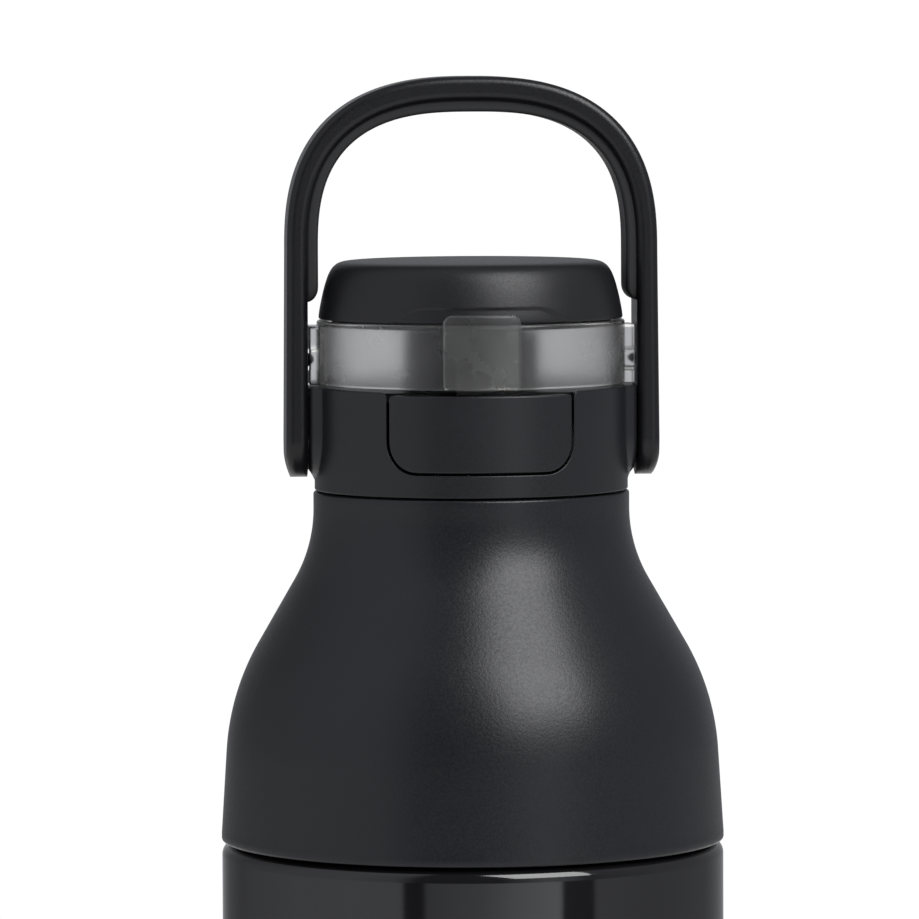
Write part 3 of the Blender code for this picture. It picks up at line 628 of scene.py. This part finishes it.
def lid_ring():
    """The ring's wall, unrolled: a strip with the button's cut-out in front and the leaf's notch behind.
    Two flat pads swell out of its sides, where the handle's legs turn."""
    half, bottom, corner = button_cut(0.35)
    notch = (math.pi - math.asin(NOTCH_HALF / LID_RADIUS)) * LID_RADIUS
    slot_z = FLOOR_TOP_Z + 0.2
    end = math.pi * LID_RADIUS + 3.0
    top, low = LID_TOP_Z, LID_BOTTOM_Z
    corners = [
        (-end, low, 0.0), (end, low, 0.0), (end, slot_z, 0.0), (notch, slot_z, 0.8), (notch, top, 0.8),
        (half, top, 1.0), (half, bottom, corner), (-half, bottom, corner), (-half, top, 1.0),
        (-notch, top, 0.8), (-notch, slot_z, 0.8), (-end, slot_z, 0.0),
    ]
    ring = bent_plate("lid_ring", fillet(corners, steps=8), LID_RADIUS, 2.3, 0.16, step=0.4, wrap=True)
    for vert in ring.data.vertices:
        x, y, z = vert.co / MM
        # The cut-outs' side walls run straight along Y, so that the button and the leaf can move through.
        r, aside = math.hypot(x, y), math.atan2(abs(x), abs(y))
        x += (math.copysign(LID_RADIUS * math.sin(aside), x) - x) * smooth((1.1 - aside) / 0.4)
        y = math.copysign(math.sqrt(r * r - x * x), y)
        vert.co.x, vert.co.y = x * MM, y * MM
        if math.hypot(x, y) < LID_RADIUS - 0.5 or abs(y) > 7.0:
            continue
        centre_z = PIVOT_Z + 0.5
        beyond = (math.hypot(y, z - centre_z) if z < centre_z else abs(y)) - 4.9
        rise = smooth(1.0 - beyond / 1.5)
        vert.co.x += math.copysign((RING_HIGH.x + 0.15 - math.sqrt(LID_RADIUS**2 - y * y)) * rise, x) * MM
    settle(ring, LID_MATTE, "lid", "matte_black", "lid_base")
    outer, inner, low = 20.7, 8.4, LID_BOTTOM_Z + 0.1
    disc = [(outer, FLOOR_TOP_Z, 0.2), (outer, low, 0.2), (inner, low, 0.2), (inner, FLOOR_TOP_Z, 0.2)]
    floor = revolve("lid_floor", fillet(disc), segments=128)
    settle(floor, LID_MATTE, "lid", "matte_black")


def button_plate():
    half, bottom, corner = button_cut(0.0)
    top = BUTTON_HIGH.z
    corners = [(-half, bottom, corner), (half, bottom, corner), (half, top, 0.5), (-half, top, 0.5)]
    plate = bent_plate("button_plate", fillet(corners, steps=10), LID_RADIUS, 1.8, 0.2, step=0.5)
    settle(plate, LID_MATTE, "button", "matte_black", "release_button")


# ---------------------------------------------------------------- frosted band

def frosted_band():
    notch = (math.pi - math.asin(NOTCH_HALF / BAND_RADIUS)) * BAND_RADIUS
    low, high = BAND_BOTTOM_Z, CAP_LOW.z - 0.25
    corners = [(-notch, low, 0.5), (notch, low, 0.5), (notch, high, 0.5), (-notch, high, 0.5)]
    band = bent_plate("frosted_ring", fillet(corners), BAND_RADIUS, 1.6, 0.3)
    settle(band, FROSTED, "lid", "frosted", "clear_band")
    half, bottom, top = 5.7, TAB_BOTTOM_Z, BAND_HIGH.z
    tab = [(-half, bottom, 0.35), (half, bottom, 0.35), (half, top, 1.3), (-half, top, 1.3)]
    front = bent_plate("frosted_tab", fillet(tab, steps=7), TAB_RADIUS, 1.07, 0.3, step=0.5)
    settle(front, FROSTED, "lid", "frosted")


def band_lugs():
    """A block on each side of the band, with a notch that the handle's nub clicks into from the rear."""
    outline = [
        (-3.4, 217.1, 0.4), (3.4, 217.1, 0.4), (3.4, 218.7, 0.3), (0.4, 219.3, 0.3), (-1.6, 219.3, 0.5),
        (-1.6, 222.1, 0.5), (3.4, 222.1, 0.3), (3.4, 225.7, 0.6), (-3.4, 225.7, 0.6),
    ]
    for side, word in ((1, "right"), (-1, "left")):
        low, high = sorted((side * 21.8, side * 23.75))
        settle(side_plate("band_lug_" + word, fillet(outline), low, high, 0.25), FROSTED, "lid", "frosted")


# ---------------------------------------------------------------- flip cap

def recess(angle, r, z):
    """The shallow hollow in the cap's front skirt that the tab stands in, with an arched upper edge."""
    if r < 21.4:
        return r, z
    across = abs((angle + math.pi) % math.tau - math.pi) * 22.0
    edge_z = 228.95 - 2.9 * smooth((across - 8.5) / 7.5)
    return r - 0.3 * smooth((edge_z - z) / 0.3), z


def cap_dome():
    """The cap's shell. Its side bows out slightly all the way down from a close-rounded top edge."""
    low, top = CAP_LOW.z, CAP_HIGH.z
    side = [(0.0, 0.0), (6.0, 0.0), (11.0, 0.02), (14.5, 0.06), (16.8, 0.1), (18.0, 0.17), (18.8, 0.29)]
    side += [(19.45, 0.54), (19.95, 0.92), (20.32, 1.36), (20.64, 1.92), (20.94, 2.62), (21.3, 3.75)]
    side += [(21.62, 5.0), (21.9, 6.3), (22.1, 7.4), (22.18, 8.0)]
    knots = [Vector((r, top - drop)) for r, drop in side]
    profile = []
    for i in range(len(knots) - 1):
        before, after = knots[max(0, i - 1)], knots[min(len(knots) - 1, i + 2)]
        start, end = knots[i], knots[i + 1]
        steps = max(2, math.ceil((end - start).length / 0.16)) if end.x > 21.2 else 4
        for k in range(steps):
            t = k / steps
            a, b = (end - before) / 2, (after - start) / 2
            point = start * (2 * t**3 - 3 * t**2 + 1) + a * (t**3 - 2 * t**2 + t)
            point += end * (3 * t**2 - 2 * t**3) + b * (t**3 - t**2)
            profile.append((point.x, point.y))
    rim = [(22.2, low + 0.4, 0.0), (22.2, low, 0.2), (20.5, low, 0.25), (20.4, low + 1.5, 0.0)]
    profile += fillet(rim, closed=False)
    profile += [(19.9, 230.6), (18.9, 232.6), (17.9, 233.3), (0.0, 233.5)]
    profile[0] = (0.0, top)
    dome = revolve("cap_dome", profile, segments=256, shape=recess)
    settle(dome, CAP_SKIN, "cap", "soft_black", "flip_cap")
    radius = 20.6
    reach, bottom, top = math.radians(84.0) * radius, low - 1.0, low + 1.4
    lip = [(-reach, bottom, 0.4), (reach, bottom, 0.4), (reach, top, 0.4), (-reach, top, 0.4)]
    settle(bent_plate("cap_inner_lip", fillet(lip), radius, 0.9, 0.2), CAP_SKIN, "cap", "soft_black")


def hinge_leaf():
    """The cap's rear leaf, flush with the band, and its knuckles on the hinge pin."""
    half = 8.2
    radius = LEAF_HIGH.y
    reach = math.asin(half / radius) * radius
    low, high = 211.2, 225.9
    slot, slot_top = 4.2, 212.6
    back = math.pi * radius
    corners = [(back - reach, high, 0.6), (back - reach, low, 0.8), (back - slot, low, 0.5)]
    corners += [(back - slot, slot_top, 0.5), (back + slot, slot_top, 0.5)]
    corners += [(back + slot, low, 0.5), (back + reach, low, 0.8), (back + reach, high, 0.6)]
    leaf = bent_plate("hinge_leaf", fillet(corners), radius, 3.0, 0.3, step=0.6)
    settle(leaf, LID_MATTE, "cap", "dark_plastic")
    ring = []
    for i in range(48):
        angle = math.tau * i / 48
        ring.append((HINGE.y + 2.4 * math.cos(angle), HINGE.z + 2.4 * math.sin(angle)))
    for word, side in (("right", 1), ("left", -1)):
        low_x, high_x = sorted((side * slot, side * half))
        knuckle = side_plate("knuckle_" + word, ring, low_x, high_x, 0.25)
        settle(knuckle, LID_MATTE, "cap", "dark_plastic")


def spout_and_stopper():
    low, high = SPOUT_LOW.z, SPOUT_HIGH.z
    flange_z = 205.6
    corners = [(9.9, high, 0.8), (9.9, flange_z, 0.6), (11.6, flange_z, 0.3)]
    corners += [(11.6, low, 0.1), (8.1, low, 0.1), (8.1, high, 0.8)]
    spout = revolve("spout_tube", fillet(corners), segments=128)
    settle(spout, DARK, "lid", "dark_plastic", "drinking_spout")
    low, high = STOPPER_LOW.z, STOPPER_HIGH.z
    corners = [(0.0, high, 0.0), (10.6, high, 0.3), (10.6, low, 0.6)]
    corners += [(6.5, low, 0.4), (6.0, low + 0.35, 0.3), (0.0, low + 0.35, 0.0)]
    pad = revolve("stopper_pad", fillet(corners, closed=False), segments=128)
    settle(pad, SEAL, "cap", "silicone", "spout_stopper")


def plug():
    top, low = PLUG_HIGH.z, PLUG_LOW.z
    corners = [(18.4, top, 0.2), (18.4, low, 0.8), (16.2, low, 0.4), (16.2, top, 0.2)]
    settle(revolve("plug_tube", fillet(corners), segments=128), DARK, "lid", "dark_plastic", "lid_plug")
    ridge = helix_ridge("plug_thread_ridge", 18.4, 0.75, 1.6, SEAM_Z + 40.6, 1.0)
    settle(ridge, DARK, "lid", "dark_plastic")


# ---------------------------------------------------------------- handle

LEG_OUTER = HANDLE_HIGH.x
LEG_INNER = 24.0
LEG_SPLAY = 0.25
NUB_Z = 220.7
ARCH_SPRING_Z = 236.5
ARCH_TOP_Z = HANDLE_HIGH.z
ARCH_UNDER_Z = 258.4
HALF_DEPTH = HANDLE_HIGH.y


def bail_stations():
    """(outer point, inner point, half depth) from the right leg's foot over the arch to the left foot."""
    foot = HANDLE_LOW.z
    radius = HALF_DEPTH
    leg = []
    for i in range(25):
        angle = math.pi / 2 * (1.0 - i / 24)
        z = PIVOT_Z - radius * math.sin(angle)
        deep = max(0.25, radius * math.cos(angle))
        curl = max(0.0, (foot + 3.5 - z) / 3.5)
        leg.append(((LEG_OUTER + LEG_SPLAY - 0.75 * curl**1.8, z), (LEG_INNER, z), deep))
    for i in range(1, 13):
        z = PIVOT_Z + (ARCH_SPRING_Z - PIVOT_Z) * i / 13
        leg.append(((LEG_OUTER + LEG_SPLAY * (1.0 - i / 13), z), (LEG_INNER, z), radius))
    arch = []
    steps = 96
    for i in range(steps + 1):
        t = i / steps
        outer = arch_point(LEG_OUTER, ARCH_SPRING_Z, ARCH_TOP_Z, 2.55, t)
        inner = arch_point(LEG_INNER, ARCH_SPRING_Z, ARCH_UNDER_Z, 2.6, t)
        arch.append((outer, inner, radius))
    left = [((-o[0], o[1]), (-n[0], n[1]), d) for o, n, d in reversed(leg)]
    return leg + arch + left


def sections_of(stations, corner):
    sections = []
    for outer, inner, deep in stations:
        outer, inner = Vector(outer), Vector(inner)
        middle, across = (outer + inner) / 2, (outer - inner)
        half = across.length / 2
        across.normalize()
        ring = []
        for thick, depth in rounded_section(half, deep, corner):
            place = middle + across * thick
            ring.append((place.x, depth, place.y))
        sections.append(ring)
    return sections


def bail_handle():
    bail = skin("bail_handle", sections_of(bail_stations(), 1.1))
    settle(bail, SOFT, "handle", "soft_black", "carry_handle")
    for word, side in (("right", 1), ("left", -1)):
        rings = []
        for x, radius in ((24.5, 1.2), (24.0, 1.2), (23.7, 0.95), (23.2, 0.5), (23.0, 0.28), (22.97, 0.12)):
            circle = [math.tau * i / 32 for i in range(32)]
            rings.append([(side * x, radius * math.cos(a), NUB_Z + radius * math.sin(a)) for a in circle])
        settle(skin("click_nub_" + word, rings), SOFT, "handle", "soft_black")


def grip_liner():
    """The soft liner inside the arch, which runs down both legs and ends round."""
    face, low = LEG_INNER + 0.3, GRIP_LOW.z
    inner_x, under = 22.45, 256.75
    half = GRIP_HIGH.y
    leg = []
    bulb = 2.2
    for i in range(9):
        angle = math.pi / 2 * i / 8
        z = low + bulb * (1.0 - math.cos(angle))
        x = face - 0.12 - (face - 0.12 - inner_x) * math.sin(angle)
        leg.append(((face, z), (x, z), half * (0.75 + 0.25 * math.sin(angle))))
    for i in range(1, 5):
        z = low + bulb + (ARCH_SPRING_Z - low - bulb) * i / 5
        leg.append(((face, z), (inner_x, z), half))
    arch = []
    steps = 96
    for i in range(steps + 1):
        t = i / steps
        outer = arch_point(face, ARCH_SPRING_Z, ARCH_UNDER_Z + 0.3, 2.6, t)
        inner = arch_point(inner_x, ARCH_SPRING_Z, under, 2.75, t)
        arch.append((outer, inner, half))
    left = [((-o[0], o[1]), (-n[0], n[1]), d) for o, n, d in reversed(leg)]
    grip = skin("grip_liner", sections_of(leg + arch + left, 0.55))
    settle(grip, GRIP, "handle", "rubber", "handle_grip")


# ---------------------------------------------------------------- CAD nodes that stay

def keep_cad_nodes():
    """The small inner works keep their CAD shape and get a finished material."""
    surfaces = {
        STEEL: ("base_plate", "vacuum_getter", "vacuum_seal_cap", "hinge_pin", "hinge_spring", "latch_hook",
                "button_spring", "pivot_pin_left", "pivot_pin_right"),
        DARK: ("lid_deck", "cap_inner"),
    }
    for surface, names in surfaces.items():
        for name in names:
            obj = frame["nodes"][name]
            obj.data.materials.clear()
            obj.data.materials.append(surface)


# ---------------------------------------------------------------- studio

CARDS = [
    (-180, 0.5), (-168, 0.3), (-154, 0.2), (-136, 0.22), (-113, 0.5), (-92, 0.8), (-62, 1.0), (-37, 1.0),
    (-35, 0.06), (-27, 0.06), (-25, 0.62), (0, 0.92), (14, 1.4), (36, 1.85), (38, 0.06), (52, 0.06),
    (54, 0.7), (88, 0.48), (130, 0.24), (160, 0.3), (180, 0.5),
]
ROOM = [
    (-180, 0.5), (-168, 0.3), (-154, 0.2), (-136, 0.22), (-113, 0.45), (-92, 0.7), (-62, 0.85), (-40, 0.7),
    (-30, 0.12), (8, 0.1), (20, 0.55), (30, 0.95), (40, 0.7), (50, 0.25), (62, 0.35), (88, 0.4),
    (130, 0.24), (160, 0.3), (180, 0.5),
]


def studio_world():
    """A white backdrop behind the bottle, a dim room in front of it, and below the lid's height a ring of
    white cards with dark gaps. The camera itself sees plain white."""
    world = bpy.data.worlds.new("studio")
    bpy.context.scene.world = world
    world.use_nodes = True
    nodes, links = world.node_tree.nodes, world.node_tree.links
    nodes.clear()
    place = nodes.new("ShaderNodeTexCoord")
    axes = nodes.new("ShaderNodeSeparateXYZ")
    links.new(place.outputs["Generated"], axes.inputs["Vector"])
    flip = nodes.new("ShaderNodeMath")
    flip.operation = "MULTIPLY"
    flip.inputs[1].default_value = -1.0
    links.new(axes.outputs["Y"], flip.inputs[0])
    turn = nodes.new("ShaderNodeMath")
    turn.operation = "ARCTAN2"
    links.new(axes.outputs["X"], turn.inputs[0])
    links.new(flip.outputs["Value"], turn.inputs[1])
    unit = nodes.new("ShaderNodeMapRange")
    unit.inputs["From Min"].default_value = -math.pi
    unit.inputs["From Max"].default_value = math.pi
    links.new(turn.outputs["Value"], unit.inputs["Value"])
    ramps = []
    for levels in (ROOM, CARDS):
        ramp = nodes.new("ShaderNodeValToRGB")
        stops = ramp.color_ramp.elements
        while len(stops) < len(levels):
            stops.new(0.5)
        for stop, (degrees, level) in zip(stops, levels):
            stop.position = (degrees + 180) / 360
            stop.color = (level * 0.485, level * 0.492, level * 0.523, 1.0)
        links.new(unit.outputs["Result"], ramp.inputs["Fac"])
        ramps.append(ramp)
    height = nodes.new("ShaderNodeMapRange")
    height.inputs["From Min"].default_value = -0.1
    height.inputs["From Max"].default_value = -0.118
    links.new(axes.outputs["Z"], height.inputs["Value"])
    blend = nodes.new("ShaderNodeMix")
    blend.data_type = "RGBA"
    links.new(height.outputs["Result"], blend.inputs["Factor"])
    links.new(ramps[0].outputs["Color"], blend.inputs["A"])
    links.new(ramps[1].outputs["Color"], blend.inputs["B"])
    room = nodes.new("ShaderNodeBackground")
    room.inputs["Strength"].default_value = 2.0
    links.new(blend.outputs["Result"], room.inputs["Color"])
    plain = nodes.new("ShaderNodeBackground")
    plain.inputs["Color"].default_value = (1.0, 1.0, 1.0, 1.0)
    plain.inputs["Strength"].default_value = 1.02
    rays = nodes.new("ShaderNodeLightPath")
    mix = nodes.new("ShaderNodeMixShader")
    out = nodes.new("ShaderNodeOutputWorld")
    links.new(rays.outputs["Is Camera Ray"], mix.inputs["Fac"])
    links.new(room.outputs["Background"], mix.inputs[1])
    links.new(plain.outputs["Background"], mix.inputs[2])
    links.new(mix.outputs["Shader"], out.inputs["Surface"])


def studio_floor():
    """A round white table top that glows, with a painted contact shadow that darkens it towards the bottle's
    foot.
    """
    size, rings, segments = 0.9, 12, 96
    verts = [(0.0, 0.0, 0.0)]
    for i in range(1, rings + 1):
        for k in range(segments):
            angle = math.tau * k / segments
            verts.append((size * i / rings * math.cos(angle), size * i / rings * math.sin(angle), 0.0))
    faces = [(0, 1 + k, 1 + (k + 1) % segments) for k in range(segments)]
    for i in range(rings - 1):
        for k in range(segments):
            a, b = 1 + i * segments + k, 1 + i * segments + (k + 1) % segments
            faces.append((a, a + segments, b + segments, b))
    mesh = bpy.data.meshes.new("studio_floor")
    mesh.from_pydata(verts, [], faces)
    floor = bpy.data.objects.new("studio_floor", mesh)
    floor.location.z = -0.0002
    bpy.context.scene.collection.objects.link(floor)
    made = bpy.data.materials.new("glowing_table_painted_shadow")
    made.use_nodes = True
    nodes, links = made.node_tree.nodes, made.node_tree.links
    place = nodes.new("ShaderNodeTexCoord")
    length = nodes.new("ShaderNodeVectorMath")
    length.operation = "LENGTH"
    links.new(place.outputs["Object"], length.inputs[0])
    # Painted contact shadow: the table's glow is turned down from 1.02 to 0.6 close to the bottle's foot.
    fade = nodes.new("ShaderNodeMapRange")
    fade.interpolation_type = "SMOOTHSTEP"
    fade.inputs["From Min"].default_value = 0.02
    fade.inputs["From Max"].default_value = 0.16
    fade.inputs["To Min"].default_value = 0.6
    fade.inputs["To Max"].default_value = 1.02
    links.new(length.outputs["Value"], fade.inputs["Value"])
    glow = nodes.new("ShaderNodeEmission")
    glow.inputs["Color"].default_value = (1.0, 1.0, 1.0, 1.0)
    links.new(fade.outputs["Result"], glow.inputs["Strength"])
    links.new(glow.outputs["Emission"], nodes["Material Output"].inputs["Surface"])
    mesh.materials.append(made)


def soft_light(name, azimuth, elevation, distance, width, height, power):
    """A softbox aimed at the lid. Azimuth 0 is in front of the bottle and 90 at +X, in degrees."""
    light = bpy.data.lights.new(name, "AREA")
    light.shape = "RECTANGLE"
    light.size, light.size_y = width, height
    light.energy = power
    obj = bpy.data.objects.new(name, light)
    a, e = math.radians(azimuth), math.radians(elevation)
    away = Vector((math.sin(a) * math.cos(e), -math.cos(a) * math.cos(e), math.sin(e)))
    obj.location = Vector((0.0, 0.0, 0.19)) + away * distance
    obj.rotation_mode = "QUATERNION"
    obj.rotation_quaternion = away.to_track_quat("Z", "Y")
    obj.visible_camera = False
    bpy.context.scene.collection.objects.link(obj)


def camera():
    """The view: slightly from the left, a little above the lid, from about a metre, with a long lens."""
    azimuth = math.radians(-4.2)
    distance, height, aim_z = 1.006, 0.270, 0.2059
    eye = Vector((math.sin(azimuth) * distance, -math.cos(azimuth) * distance, height))
    pan = Matrix.Rotation(math.atan(0.0017 / distance), 3, "Z")
    forward = pan @ (Vector((0.0, 0.0, aim_z)) - eye)
    data = bpy.data.cameras.new("photo_view")
    data.lens = 270.0
    data.sensor_width = 36.0
    data.clip_start, data.clip_end = 0.05, 20.0
    obj = bpy.data.objects.new("photo_view", data)
    obj.location = eye
    roll = Matrix.Rotation(math.radians(-0.25), 4, "Z").to_quaternion()
    obj.rotation_mode = "QUATERNION"
    obj.rotation_quaternion = forward.to_track_quat("-Z", "Y") @ roll
    bpy.context.scene.collection.objects.link(obj)
    bpy.context.scene.camera = obj


gloss_body()
steel_lining()
foot()
shoulder_collar()
collar_funnel()
seals()
lid_ring()
button_plate()
frosted_band()
band_lugs()
cap_dome()
hinge_leaf()
spout_and_stopper()
plug()
bail_handle()
grip_liner()
keep_cad_nodes()

bpy.context.scene.view_settings.view_transform = "Standard"
studio_world()
studio_floor()
soft_light("key_softbox", 34.0, 42.0, 1.0, 0.66, 0.7, 12.0)
camera()
